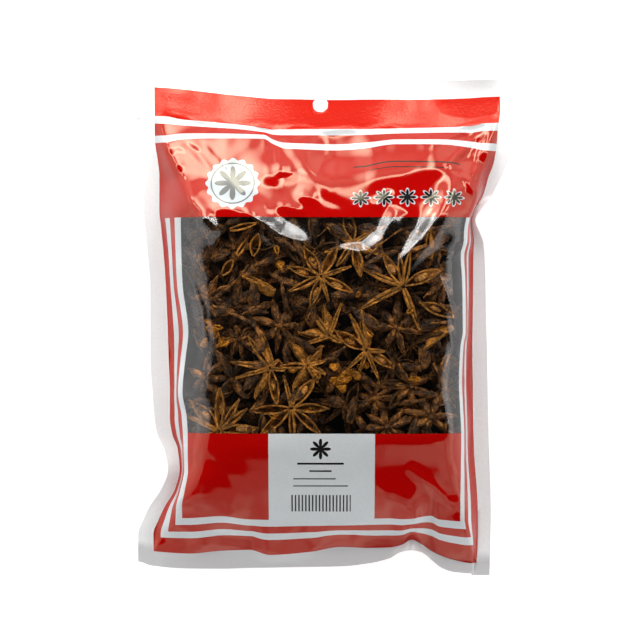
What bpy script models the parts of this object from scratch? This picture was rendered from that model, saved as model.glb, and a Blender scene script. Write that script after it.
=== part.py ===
"""A sealed pouch of dried star anise, lying on its back with the printed front up.

Metres, +Z up. The origin is on the table under the middle of the pouch, +Y points to the header
with the hang hole, and +X to the right of the printed front.

The pouch is one filled solid. It starts as two flat film sheets, front and back. Every point of a
sheet keeps its place on the flat film as p (across) and q (along). Filling the pouch draws its edges
in, which moves a film point over the table, and lifts the front away from the back. The pods that
press against the clear window show as low relief.
"""

import math

import bmesh
import bpy
import numpy as np
from mathutils import Matrix, Vector

# The flat film
POUCH_WIDTH = 0.191
POUCH_LENGTH = 0.256
HALF_WIDTH = POUCH_WIDTH / 2
HALF_LENGTH = POUCH_LENGTH / 2
SIDE_SEAL_LEFT = 0.009
SIDE_SEAL_RIGHT = 0.007
BOTTOM_SEAL = 0.0093
HEADER = 0.025
SEAL_THICKNESS = 0.0006

# The filled pouch
SEAM_HEIGHT = 0.0165
FRONT_RISE = 0.028
FRONT_CROWN = 0.0045
FRONT_SLOPE_LENGTHS = (0.029, 0.024, 0.050, 0.056)
LEVELLING = 4
BACK_SLOPE_LENGTH = 0.012
BACK_FILL = 1.12
CORNER_DROOP = 0.72
HEADER_DROOP = 0.5

# How far the filling draws each edge in: (place along the edge, inset)
LEFT_INSET = (
    (-0.128, 0.0010), (-0.108, 0.0015), (-0.096, 0.0065), (-0.086, 0.0125), (-0.075, 0.0170),
    (-0.064, 0.0145), (-0.054, 0.0100), (-0.030, 0.0086), (0.000, 0.0080), (0.025, 0.0076),
    (0.050, 0.0050), (0.075, 0.0043), (0.092, 0.0005), (0.110, 0.0), (0.128, 0.0),
)
RIGHT_INSET = (
    (-0.128, 0.0125), (-0.100, 0.0115), (-0.080, 0.0125), (-0.040, 0.0140), (0.000, 0.0148),
    (0.030, 0.0155), (0.043, 0.0180), (0.0505, 0.0205), (0.058, 0.0170), (0.070, 0.0102),
    (0.082, 0.0058), (0.095, 0.0020), (0.110, 0.0), (0.128, 0.0),
)
BOTTOM_INSET = (
    (-0.0955, 0.0065), (-0.083, 0.0040), (-0.060, 0.0035), (-0.030, 0.0040), (0.005, 0.0050),
    (0.022, 0.0065), (0.032, 0.0090), (0.038, 0.0125), (0.0425, 0.0136), (0.048, 0.0123),
    (0.053, 0.0083), (0.058, 0.0043), (0.064, 0.0022), (0.075, 0.0009), (0.0955, 0.0),
)
TOP_INSET = (
    (-0.0955, 0.0), (-0.075, 0.0013), (-0.060, 0.0027), (-0.045, 0.0043), (-0.030, 0.0062),
    (-0.015, 0.0071), (0.005, 0.0075), (0.050, 0.0070), (0.075, 0.0065), (0.0955, 0.0055),
)
INSET_FADE_SIDES = 0.013
INSET_FADE_BOTTOM = 0.009
INSET_FADE_TOP = (0.035, 0.076)
STEEPEST_FADE = 1.25

# Where a seal is pulled in sharply it also buckles: (edge, place along it, lift, half width)
BUCKLES = (
    ("left", -0.075, 0.0060, 0.012),
    ("right", 0.0505, 0.0070, 0.010),
    ("bottom", 0.0425, 0.0065, 0.008),
    ("top", -0.030, -0.0030, 0.012),
)
BUCKLE_REACH = 0.016

# Puckers along the side seals: (wavelength, height, phase)
SIDE_PUCKERS = ((0.047, 0.0011, 0.4), (0.029, 0.0008, 2.1))
END_PUCKERS = ((0.060, 0.0011, 1.0), (0.034, 0.0008, 0.2))
PUCKER_REACH = 0.009

HANG_HOLE_RADIUS = 0.0039
HANG_HOLE_CENTRE = (-0.0025, 0.109)
HANG_HOLE_SIDES = 24

# Pods that press against the window: (x, y, radius, carpels, turn in degrees)
POD_RELIEF = (
    (-0.0020, 0.0220, 0.0170, 8, 64),
    (0.0385, 0.0170, 0.0215, 8, 26),
    (-0.0275, -0.0230, 0.0190, 8, 10),
    (0.0050, -0.0225, 0.0150, 7, 0),
    (-0.0165, -0.0430, 0.0190, 8, 8),
    (-0.0530, -0.0480, 0.0190, 7, 35),
    (0.0280, -0.0130, 0.0165, 8, 18),
    (0.0555, -0.0455, 0.0145, 8, 20),
    (0.0400, -0.0330, 0.0140, 7, 40),
    (-0.0240, 0.0010, 0.0155, 7, 5),
    (0.0550, -0.0120, 0.0140, 7, 30),
    (-0.0420, 0.0240, 0.0170, 7, 50),
    (-0.0570, -0.0020, 0.0150, 8, 12),
    (0.0150, 0.0400, 0.0150, 7, 22),
    (0.0150, -0.0460, 0.0140, 7, 15),
)
CARPEL_WIDTH = 0.0075
CARPEL_STANDS_PROUD = 0.0016
CARPEL_DEPTH = 0.0034
CARPEL_SINK = 0.0005
CARPEL_STEP = 0.00004
CARPEL_SIDES = 6
CARPEL_RINGS = 4

# Grid lines of the film: (where a stretch ends, cells in it)
LINES_ACROSS = (
    (-0.0865, 2), (-0.068, 4), (-0.020, 6), (0.020, 5), (0.068, 6), (0.0885, 5), (0.0955, 2),
)
LINES_ALONG = (
    (-0.1187, 2), (-0.096, 6), (-0.050, 7), (0.044, 9), (0.066, 4), (0.103, 6), (0.128, 4),
)


def curve_through(knots, at):
    """A smooth curve through (place, value) knots that never overshoots them, read at these places."""
    place, value = np.array(knots).T
    rate = np.diff(value) / np.diff(place)
    before, after = rate[:-1], rate[1:]
    same_way = before * after > 0
    total = np.where(same_way, before + after, 1)
    slope = np.concatenate(([0], np.where(same_way, 2 * before * after / total, 0), [0]))
    at = np.clip(at, place[0], place[-1])
    left = np.clip(np.searchsorted(place, at, side="right") - 1, 0, len(place) - 2)
    span = place[left + 1] - place[left]
    u = (at - place[left]) / span
    start = (1 + 2 * u) * (1 - u) ** 2 * value[left] + u * (1 - u) ** 2 * span * slope[left]
    end = u**2 * (3 - 2 * u) * value[left + 1] + u**2 * (u - 1) * span * slope[left + 1]
    return start + end


def ease(u):
    """0 below 0, 1 above 1, smooth between."""
    u = np.clip(u, 0, 1)
    return u * u * (3 - 2 * u)


def drawn_in(inset, distance, seal, length):
    """How far a point this far from an edge moves in: as the edge over the seal, then ever less.

    A deep inset fades over a longer stretch, so that the film never folds back on itself.
    """
    return inset * np.exp(-np.maximum(distance - seal, 0) / np.maximum(length, STEEPEST_FADE * inset))


def filled(distance, length):
    """How far the filling has parted the films, this far inside a seal."""
    return 1 - np.exp(-np.maximum(distance, 0) / length)


def edge_distances(p, q):
    """Distance on the flat film from the left, right, bottom and top edges."""
    return p + HALF_WIDTH, HALF_WIDTH - p, q + HALF_LENGTH, HALF_LENGTH - q


def plan(p, q):
    """Where a film point lies over the table."""
    left, right, bottom, top = edge_distances(p, q)
    left_inset, right_inset = curve_through(LEFT_INSET, q), curve_through(RIGHT_INSET, q)
    x = p + drawn_in(left_inset, left, SIDE_SEAL_LEFT, INSET_FADE_SIDES)
    x = x - drawn_in(right_inset, right, SIDE_SEAL_RIGHT, INSET_FADE_SIDES)
    y = q + drawn_in(curve_through(BOTTOM_INSET, p), bottom, BOTTOM_SEAL, INSET_FADE_BOTTOM)
    header_fade = 1 - ease((top - INSET_FADE_TOP[0]) / (INSET_FADE_TOP[1] - INSET_FADE_TOP[0]))
    return x, y - curve_through(TOP_INSET, p) * header_fade


def waves(place, terms):
    """Sum of (wavelength, height, phase) waves."""
    return sum(h * np.sin(2 * math.pi * place / length + phase) for length, h, phase in terms)


def puckers(p, q):
    """Ripples that start at the seals and die out up the flanks of the pouch."""
    left, right, bottom, top = edge_distances(p, q)
    height = 0
    for distance, place, terms in (
        (left - SIDE_SEAL_LEFT, q, SIDE_PUCKERS),
        (right - SIDE_SEAL_RIGHT, q + 0.013, SIDE_PUCKERS),
        (bottom - BOTTOM_SEAL, p, END_PUCKERS),
        (top - HEADER, p + 0.021, END_PUCKERS),
    ):
        inside = np.maximum(distance, 0) / PUCKER_REACH
        height = height + waves(place, terms) * inside * np.exp(1 - inside)
    return height


def seam_height(p, q):
    """Height of the seal, and of the surface half way between the films."""
    left, right, bottom, top = edge_distances(p, q)
    corner = (np.abs(p) / HALF_WIDTH * np.abs(q) / HALF_LENGTH) ** 3
    height = SEAM_HEIGHT * (1 - CORNER_DROOP * corner)
    height = height * (1 - HEADER_DROOP * ease((HEADER + 0.012 - top) / (HEADER + 0.012)))
    distances = {"left": left, "right": right, "bottom": bottom, "top": top}
    for edge, centre, lift, half_width in BUCKLES:
        along = q if edge in ("left", "right") else p
        bump = lift * np.exp(-(((along - centre) / half_width) ** 2))
        height = height + bump * np.exp(-distances[edge] / BUCKLE_REACH)
    return height


def front_height(p, q):
    """The front rises evenly from each seal and levels off over the filling, with a low crown."""
    left, right, bottom, top = edge_distances(p, q)
    inside = (left - SIDE_SEAL_LEFT, right - SIDE_SEAL_RIGHT, bottom - BOTTOM_SEAL, top - HEADER)
    shares = [np.maximum(d, 1e-5) / length for d, length in zip(inside, FRONT_SLOPE_LENGTHS)]
    rise = (1 + sum(share**-LEVELLING for share in shares)) ** (-1 / LEVELLING)
    crown = rise**2 * (1 - (p / HALF_WIDTH) ** 2) * (1 - (q / HALF_LENGTH) ** 2)
    seam = seam_height(p, q) + SEAL_THICKNESS / 2
    return seam + FRONT_RISE * rise + FRONT_CROWN * crown + puckers(p, q)


def back_height(p, q):
    """The back lies flat on the table, and rises to the seals round it."""
    left, right, bottom, top = edge_distances(p, q)
    drop = BACK_FILL * (
        filled(left - SIDE_SEAL_LEFT, BACK_SLOPE_LENGTH)
        * filled(right - SIDE_SEAL_RIGHT, BACK_SLOPE_LENGTH)
        * filled(bottom - BOTTOM_SEAL, BACK_SLOPE_LENGTH)
        * filled(top - HEADER, BACK_SLOPE_LENGTH)
    )
    return np.maximum((seam_height(p, q) - SEAL_THICKNESS / 2) * (1 - np.minimum(drop, 1)), 0)


def grid_lines(start, stretches):
    lines = [start]
    for end, cells in stretches:
        lines += list(np.linspace(lines[-1], end, cells + 1)[1:])
    return lines


def film_sheet(bm, height, flip):
    """Adds a film sheet to the mesh, and returns the edges of its rim."""
    across = grid_lines(-HALF_WIDTH, LINES_ACROSS)
    along = grid_lines(-HALF_LENGTH, LINES_ALONG)
    made = bmesh.ops.create_grid(
        bm, x_segments=len(across) - 1, y_segments=len(along) - 1, size=1
    )
    verts = made["verts"]
    half = np.array([(v.co.x, v.co.y) for v in verts]) / 2 + 0.5
    p = np.array(across)[np.rint(half[:, 0] * (len(across) - 1)).astype(int)]
    q = np.array(along)[np.rint(half[:, 1] * (len(along) - 1)).astype(int)]
    x, y = plan(p, q)
    for vert, place in zip(verts, zip(x, y, height(p, q))):
        vert.co = place
    faces = {face for vert in verts for face in vert.link_faces}
    if flip:
        bmesh.ops.reverse_faces(bm, faces=list(faces))
    return [e for e in {e for f in faces for e in f.edges} if e.is_boundary]


def add_object(name, bm, collection):
    mesh = bpy.data.meshes.new(name)
    bm.to_mesh(mesh)
    bm.free()
    obj = bpy.data.objects.new(name, mesh)
    collection.objects.link(obj)
    return obj


def make_pouch(collection):
    """Front and back film, joined at their rims into one filled solid."""
    bm = bmesh.new()
    rims = film_sheet(bm, front_height, flip=False) + film_sheet(bm, back_height, flip=True)
    bmesh.ops.bridge_loops(bm, edges=rims)
    bmesh.ops.recalc_face_normals(bm, faces=bm.faces)
    return add_object("star_anise_pouch", bm, collection)


def film_top(x, y):
    """Height of the front film over a place on the table, near the middle of the pouch."""
    return float(front_height(np.array(x), np.array(y)))


def make_pod(x, y, radius, carpels, turn, collection):
    """The upper side of one pod: carpels like spokes, following the film they press on."""
    bm = bmesh.new()
    hub = 0.12 * radius
    for k in range(carpels):
        angle = math.radians(turn) + 2 * math.pi * k / carpels
        length = radius * (1 - 0.13 * (k % 3 == 1))
        width = CARPEL_WIDTH * (1 - 0.25 * (k % 2))
        place = Matrix.Rotation(angle, 4, "Z") @ Matrix.Translation(((hub + length) / 2, 0, 0))
        made = bmesh.ops.create_uvsphere(
            bm, u_segments=CARPEL_SIDES, v_segments=CARPEL_RINGS, radius=1,
            matrix=place @ Matrix.Diagonal(((length - hub) / 2 + hub, width / 2, 1, 1)),
        )
        for vert in made["verts"]:
            spot = Vector((x + vert.co.x, y + vert.co.y))
            depth = CARPEL_STANDS_PROUD + CARPEL_SINK if vert.co.z > 0 else CARPEL_DEPTH
            level = film_top(spot.x, spot.y) - CARPEL_SINK - CARPEL_STEP * k
            vert.co = (spot.x, spot.y, level + vert.co.z * depth)
    return add_object("pod", bm, collection)


def join_relief(pouch, pods):
    """Fuses the pods to the pouch and removes their own objects."""
    union = pouch.modifiers.new("pods", "BOOLEAN")
    union.operation = "UNION"
    union.operand_type = "COLLECTION"
    union.collection = pods
    union.solver = "MANIFOLD"
    apply_modifiers(pouch)
    for obj in list(pods.objects):
        bpy.data.objects.remove(obj)
    bpy.data.collections.remove(pods)


def apply_modifiers(obj):
    graph = bpy.context.evaluated_depsgraph_get()
    mesh = bpy.data.meshes.new_from_object(obj.evaluated_get(graph))
    obj.modifiers.clear()
    obj.data = mesh


def cut_hang_hole(pouch, cutters):
    x, y = HANG_HOLE_CENTRE
    bpy.ops.mesh.primitive_cylinder_add(
        vertices=HANG_HOLE_SIDES, radius=HANG_HOLE_RADIUS, depth=2 * SEAM_HEIGHT,
        location=(x, y, SEAM_HEIGHT / 2),
    )
    cutter = bpy.context.object
    cutter.name = "hang_hole_cutter"
    for owner in list(cutter.users_collection):
        owner.objects.unlink(cutter)
    cutters.objects.link(cutter)
    cutter.hide_render = True
    cutter.display_type = "WIRE"
    cut = pouch.modifiers.new("hang hole", "BOOLEAN")
    cut.operation = "DIFFERENCE"
    cut.object = cutter
    cut.solver = "EXACT"


def printed_film():
    material = bpy.data.materials.new("printed_film")
    material.use_nodes = True
    shader = material.node_tree.nodes["Principled BSDF"]
    shader.inputs["Base Color"].default_value = (0.62, 0.03, 0.02, 1)
    shader.inputs["Roughness"].default_value = 0.12
    shader.inputs["Metallic"].default_value = 0.0
    return material


def new_collection(name):
    collection = bpy.data.collections.new(name)
    bpy.context.scene.collection.children.link(collection)
    return collection


def main():
    for obj in list(bpy.data.objects):
        bpy.data.objects.remove(obj)
    parts = new_collection("star_anise_pouch")
    cutters = new_collection("cutters")
    pods = new_collection("pods")
    pouch = make_pouch(parts)
    for pod in POD_RELIEF:
        make_pod(*pod, pods)
    join_relief(pouch, pods)
    cut_hang_hole(pouch, cutters)
    pouch.data.materials.clear()
    pouch.data.materials.append(printed_film())
    pouch.data.shade_smooth()
    pouch.data.set_sharp_from_angle(angle=math.radians(40))


main()
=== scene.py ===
"""A sealed pouch of dried star anise, lying on its back: printed glossy film round a heap of pods.

Metres, +Z up, +Y towards the header with the hang hole. Every point of a film sheet has a place on
the flat film, p across and q along, and the print follows that place. Tables of the film, the print
and the pods are in millimetres, and those of the lights are in metres.
"""

import math
from collections import namedtuple

import bpy
import numpy as np
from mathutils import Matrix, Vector
from mathutils.bvhtree import BVHTree


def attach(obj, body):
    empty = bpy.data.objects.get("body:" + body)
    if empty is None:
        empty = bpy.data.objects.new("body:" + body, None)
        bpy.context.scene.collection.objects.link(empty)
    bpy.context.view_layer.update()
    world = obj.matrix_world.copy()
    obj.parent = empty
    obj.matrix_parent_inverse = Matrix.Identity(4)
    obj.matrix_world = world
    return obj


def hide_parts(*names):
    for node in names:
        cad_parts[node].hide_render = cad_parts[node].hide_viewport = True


MM = 0.001

# The flat film
POUCH_WIDTH = 191 * MM
POUCH_LENGTH = 256 * MM
HALF_WIDTH = POUCH_WIDTH / 2
HALF_LENGTH = POUCH_LENGTH / 2
SEAL_THICKNESS = 0.6 * MM
HANG_HOLE_RADIUS = 3.9 * MM
HANG_HOLE_CENTRE = (-2.5 * MM, 109 * MM)

# How wide the seals are on the flat film: left, right, bottom and the header
SEALS = (8.8 * MM, 7.5 * MM, 9 * MM, 24.5 * MM)
BOTTOM_SEAL, HEADER = SEALS[2:]

# The filled pouch
SEAM_HEIGHT = 16.5 * MM
FRONT_RISE = 28 * MM
FRONT_CROWN = 4.5 * MM
SLOPE_LENGTHS = (29 * MM, 24 * MM, 50 * MM, 56 * MM)
LEVELLING = 4
BACK_SLOPE_LENGTH = 12 * MM
BACK_FILL = 1.12
CORNER_DROOP = 0.72
HEADER_DROOP = 0.42
HEADER_DROOP_REACH = HEADER + 12 * MM

# How far the filling draws the film in: (place along the edge, at the edge, at the seal's inner line,
# at the inner white line). STATIONS has those lines' depths on the flat film.
LEFT_STATIONS = (0, 8.8, 24, 50)
LEFT_INSETS = (
    (-128, 1.0, 0.2, 0), (-109, 1.3, 0.2, 0), (-100, 4.2, 3.2, 0), (-94, 6.8, 5.7, 0),
    (-84, 13.2, 11.2, 1.5), (-74, 16.8, 13.7, 3.2), (-64, 14.8, 12.7, 3.0), (-56, 11.0, 9.8, 3.0),
    (-48, 9.8, 8.7, 2.6), (-35, 8.8, 8.7, 0.6), (-20, 7.8, 8.2, 1.7), (-5, 7.8, 7.7, 3.4),
    (18, 7.7, 6.7, 0.6), (33, 6.5, 5.7, 0), (48, 5.0, 4.2, -0.2), (56, 4.4, 3.4, 0),
    (75, 4.2, 3.4, 0), (84, 2.2, 2.6, 0), (96, 0.2, 1.0, 0), (128, 0, 0.4, 0),
)
RIGHT_STATIONS = (0, 7.5, 22.5, 50)
RIGHT_INSETS = (
    (-128, 12.7, 12.7, 0), (-112, 12.5, 11.5, 2.0), (-98, 12.3, 11.4, 6.0), (-60, 13.6, 13.7, 5.8),
    (-30, 14.3, 14.2, 6.8), (-12, 14.6, 14.4, 6.2), (-5, 14.8, 14.3, 5.0), (20, 15.3, 14.0, 5.3),
    (33, 15.8, 13.9, 6.0), (40, 16.6, 13.6, 4.6), (44, 18.2, 14.2, 4.5), (50.5, 20.7, 15.2, 3.5),
    (56, 18.0, 13.5, 1.5), (63, 13.0, 9.8, 0), (70, 10.2, 7.8, 0), (78, 7.2, 6.2, 0),
    (86, 4.7, 3.8, 0), (98, 1.8, 1.8, 0), (112, 0.8, 0, 0), (128, 0, 0, 0),
)
BOTTOM_STATIONS = (0, 9, 28.5, 48)
BOTTOM_INSETS = (
    (-95.5, 6.8, 5.0, 1.0), (-88, 5.0, 3.5, 1.0), (-68, 3.8, 2.5, 1.5), (-52, 3.8, 4.0, 2.7),
    (-38, 4.2, 4.5, 1.0), (-28, 4.4, 2.0, 0.8), (-8, 4.8, 3.5, 1.0), (8, 5.2, 6.0, 1.0),
    (22, 6.8, 5.5, 1.3), (32, 9.3, 5.8, 1.5), (38, 12.8, 7.2, 1.2), (43, 13.7, 9.8, 1.5),
    (48, 12.5, 7.5, 2.4), (53, 8.5, 4.0, 2.8), (58, 4.5, 1.5, 1.0), (64, 2.3, -0.5, 0.5),
    (75, 1.2, -2.5, 0), (95.5, 0, -2.5, 0),
)
TOP_STATIONS = (0, 24.5, 34, 76)
TOP_INSETS = (
    (-95.5, 0, 0, 4.0), (-81, 0.8, 0.5, 4.0), (-72, 1.4, 2.0, 2.5), (-60, 2.6, 3.2, 2.0),
    (-45, 4.5, 4.5, 2.0), (-31, 5.9, 6.5, 2.2), (-26, 6.1, 7.3, 5.0), (-20, 6.4, 7.2, 7.2),
    (5, 7.2, 7.0, 8.0), (20, 6.9, 7.0, 7.0), (35, 6.7, 6.6, 5.0), (60, 6.6, 6.0, 5.2),
    (72, 6.3, 5.5, 6.5), (82, 6.0, 3.8, 8.0), (95.5, 5.5, 3.5, 8.0),
)

# Where a seal is pulled in sharply it also buckles: (edge, place along it, lift, half width)
BUCKLES = (
    ("left", -75, 6.0, 12),
    ("right", 50.5, 7.0, 10),
    ("bottom", 42.5, 6.5, 8),
    ("top", -30, -3.0, 12),
)
BUCKLE_REACH = 16 * MM

# Where the header's free edge and the bottom edge dip: (place along the edge, half width, dip)
HEADER_DIPS = ((-52, 14, 6.4), (44, 14, 6.0), (-88, 10, 1.0))
HEADER_DIP_REACH = HEADER + 8 * MM
FOOT_DIPS = ((-28, 40, 3.0),)
FOOT_DIP_REACH = BOTTOM_SEAL + 3 * MM

# Puckers along the seals, as waves: (wavelength, height, phase). The shifts keep the waves of
# opposite seals apart.
SIDE_PUCKERS = ((47, 1.1, 0.4), (29, 0.8, 2.1), (13, 0.25, 1.0))
END_PUCKERS = ((60, 1.1, 1.0), (34, 0.8, 0.2), (15, 0.2, 2.0))
RIGHT_SHIFT = 13 * MM
TOP_SHIFT = 21 * MM
PUCKER_REACH = 9 * MM

# The bead where the header's seal ends, with its waves
BEAD_HEIGHT = 0.42 * MM
BEAD_HALF_WIDTH = 1.1 * MM
BEAD_WANDER = ((53, 0.8, 0.7), (21, 0.5, 2.0))
BEAD_UNEVENNESS = ((34, 0.2, 0.3), (11, 0.12, 1.0))

# Folds in the film over the table: (shape, half width, height, points from one end to the other).
# A ridge rises along its line and tapers off, a swell stays round at both ends, and a step rises on
# the left of its line.
FOLDS = (
    ("swell", 15, 3.4, ((-70, 44), (-46, 46))),
    ("swell", 9, 2.6, ((-66, 58), (-52, 57))),
    ("swell", 8, 1.6, ((-38, 53), (-27, 55))),
    ("swell", 8, 1.8, ((-27, 75), (-12, 76), (-4, 71), (10, 72), (37, 75), (60, 79))),
    ("ridge", 4.4, 2.6, ((-84, 90), (-75, 77), (-68, 62), (-60, 52), (-51, 44))),
    ("swell", 5.0, 1.2, ((-66, 71), (-62, 66))),
    ("swell", 4.4, 3.7, ((-60, 48.5), (-56.5, 45))),
    ("step", 1.0, 0.4, ((-65, 93), (-53, 81), (-44, 68), (-37, 57))),
    ("ridge", 2.0, -0.5, ((-73, 92), (-64, 84), (-55, 73))),
    ("step", 2.2, 0.6, ((-32, 99), (-21, 86), (-10, 73), (2, 64))),
    ("ridge", 3.4, 1.0, ((-25, 88), (-20, 72))),
    ("swell", 3.5, 0.8, ((-11, 62), (-7, 61))),
    ("swell", 3.0, 0.9, ((-20, 57), (-14, 55))),
    ("ridge", 6.2, 4.0, ((-43, 62), (-35, 50), (-24, 42), (-5, 34))),
    ("ridge", 5.0, 3.1, ((1, 34), (20, 33), (29, 40), (36, 56))),
    ("swell", 2.6, 0.7, ((26, 58), (31, 62))),
    ("ridge", 6.0, 4.2, ((66, 74), (60, 57), (50, 41), (37, 26), (31, 13))),
    ("ridge", 2.2, 1.0, ((81, 98), (68, 85), (59, 76))),
    ("ridge", 1.5, 0.7, ((83, 95), (76, 80), (70, 64))),
    ("ridge", 1.6, 0.7, ((78, 100), (63, 93), (52, 88))),
    ("ridge", 2.0, 0.8, ((68, 74), (76, 62))),
    ("swell", 9.0, 2.4, ((30, -57), (64, -57))),
    ("swell", 8.0, 2.6, ((32, -87), (40, -90))),
    ("ridge", 2.6, 1.5, ((40, -71), (52, -81), (64, -93))),
    ("ridge", 2.8, 1.8, ((43, -113), (46, -104), (43, -92))),
    ("swell", 8.0, 0.9, ((-36, -62), (-22, -62))),
    ("swell", 8.0, 2.0, ((-50, -96), (-48, -96))),
    ("ridge", 1.3, 0.5, ((-73, 30), (-66, 20), (-61, 6), (-59, -12))),
    ("step", 1.6, 0.8, ((-73, 46), (-67, 38), (-63, 26))),
    ("ridge", 1.3, 0.6, ((51, 30), (58, 18), (64, 2), (67, -16))),
    ("ridge", 1.2, 0.5, ((52, 28), (61, 31), (70, 36))),
    ("ridge", 1.6, 0.6, ((60, -2), (66, -20), (66, -44))),
)

# Folds reach their full height this far inside the seals. The taper shapes the ends of ridges and
# steps, and a step dies out over its spread, in half widths.
FOLD_START = 6 * MM
FOLD_TAPER = 0.7
STEP_SPREAD = 4

# Wrinkles too fine and too many to name: (how many, longest, half width, height), in this box
WRINKLES = ((60, 24, 1.8, 0.11), (30, 42, 4.0, 0.25))
WRINKLE_SEED = 11
WRINKLED = ((-78, -112), (78, 100))

# The cells of each film's mesh
FRONT_STEP = 0.8 * MM
BACK_STEP = 2.0 * MM

# The print's lines, by their depth from each edge of the flat film, and the film's materials in
# their order. The lists below have those between the lines, from the edge inwards.
FRAME_LEFT = (8.8, 12.6, 16.4, 20.2, 24.0)
FRAME_RIGHT = (7.5, 13.0, 15.8, 19.2, 22.5)
FRAME_BOTTOM = (9.0, 17.5, 21.0, 24.8, 28.5)
FRAME_TOP = (9.5, 24.5, 27.5, 31.5, 34.5)
WINDOW_Q = (-55.2 * MM, 51.5 * MM)
LABEL_P = (-28.2 * MM, 24.3 * MM)
MARGIN, RED, WHITE, CLEAR, SEALED_RED = range(5)
FRAME_INKS = np.array((MARGIN, RED, WHITE, RED, WHITE, RED))
HEADER_INKS = np.array((MARGIN, SEALED_RED, WHITE, RED, WHITE, RED))

MARGIN_FILM = (0.89, 0.9, 0.9)
# The bottom seal's film: the margin film painted darker, as painted shade
FOOT_SHADE_FILM = (0.52, 0.52, 0.53)
RED_INK = (0.415, 0.0012, 0.0008)
# The header's red is the panels' red ink made brighter: painted light where more light falls on the header
SEALED_LIT_RED_INK = (0.68, 0.014, 0.006)
WHITE_INK = (0.62, 0.655, 0.67)
BADGE_INK = (0.47, 0.52, 0.55)
GREY_INK = (0.13, 0.14, 0.15)
BLACK_INK = (0.012, 0.011, 0.011)
RED_GLOSS_TINT = (1.0, 0.95, 0.68)

# Surfaces of printed film: (roughness, grain, gloss). A colour falls to its darkest share in patches.
MARGIN_SURFACE = (0.18, 0.05, 0.55)
PANEL_SURFACE = (0.06, 0.03, 0.58)
SEALED_SURFACE = (0.22, 0.6, 0.38)
GRAIN_SCALE = 900
GRAIN_DEPTH = 0.2 * MM
# The margin film's glow is painted light, standing in for light from the table below
MARGIN_PAINTED_GLOW = 0.09
FOOT_SHADE_FADE = 6.0
DARKEST_SHARE = 0.94

# Clear film: the share of light that it mirrors straight on and at a grazing angle, and how late
# the second takes over
CLEAR_MIRRORS = (0.1, 0.9)
GRAZING_POWER = 4
CLEAR_ROUGHNESS = 0.13
CLEAR_TINT = (0.97, 0.97, 0.97)

# Shapes printed in the panels, on the flat film. A rule is its lower left and upper right corners, and
# the row of flowers is its start, its end, its place along the film and its spacing.
BADGE = (-46.0, 69.0)
BADGE_RADIUS = 13.0
BADGE_LOBES = 16
BADGE_RING = (11.0, 10.3)
BADGE_FLOWER = 9.0
PANEL_RULES = (((14, 82.6), (67, 83.4)), ((22, 79.4), (59, 80.0)))
FLOWER_ROW = (11.5, 69.5, 62.0, 11.6)
ROW_FLOWER = 4.4
ROW_FLOWER_EDGE = 0.9
LABEL_MARK = (-2.5, -62.8)
LABEL_FLOWER = 5.2
LABEL_RULES = (
    ((-14, -70.6), (9, -69.6)),
    ((-8, -74.2), (3, -73.4)),
    ((-16, -78.0), (5, -77.4)),
    ((-16, -81.6), (11, -81.0)),
)
LABEL_STRIPES = ((-17.5, -95), (12.5, -86))
STRIPE_SPACING = 1.7

# A flower: half its number of petals, how long they are and how wide its heart is, as shares of its
# radius, and how pointed they are. A scallop is a share of its roundel's radius.
HALF_THE_PETALS = 4
PETAL, HEART = 0.68, 0.32
PETAL_POINT = 1.2
SCALLOP = 0.05

# Carpels: gape, width and depth, roll in degrees, how many in one have a seed, how round the back is,
# how far down the back the lips' colour reaches, and the share of each where they are drawn at random
Carpel = namedtuple("Carpel", "gape width depth roll seeded roundness gold share")
CARPELS = {
    "wide": Carpel(4.4, 6.2, 6.0, 0, 1.0, 1.3, 0.3, 0.06),
    "open": Carpel(3.2, 5.0, 5.8, 0, 0.6, 1.3, 0.3, 0.2),
    "slit": Carpel(1.2, 4.2, 5.4, 0, 0.0, 1.6, 0.5, 0.24),
    "rod": Carpel(0.25, 4.0, 5.0, 0, 0.0, 2.0, 0.6, 0.2),
    "thin": Carpel(0.2, 2.6, 4.4, 0, 0.0, 1.8, 0.6, 0.06),
    "broad": Carpel(1.5, 4.2, 6.6, 58, 0.0, 1.5, 0.7, 0.24),
}
LIP = 0.85
LIP_START = 0.09
BACK_UP = (1, -1, -1)
BACK_UP_DROP = 5.6

# Creases over a carpel's back: (how often along it, how often across it)
CREASES = ((12, 3), (22, 5), (31, 8))

# How fine a carpel is: (stations along it, places across its back, places across its hollow)
FINE, COARSE = (22, 15, 7), (14, 11, 7)

# Seeds, by how deep in the hollow they lie in stars and in single carpels
SEED_SIZE = (7.0, 3.7, 2.9)
SEED_DEPTHS = (1.5, 2.3)
SINGLE_SEED_DEPTH = 1.8

# The lumps in the middle of a star: (size, place)
HUB = ((1.9, 1.9, 2.6), (0, 0, -3.4))
SCAR = ((1.1, 1.1, 0.6), (0, 0, -0.3))
HUB_TONE = 0.3

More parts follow.
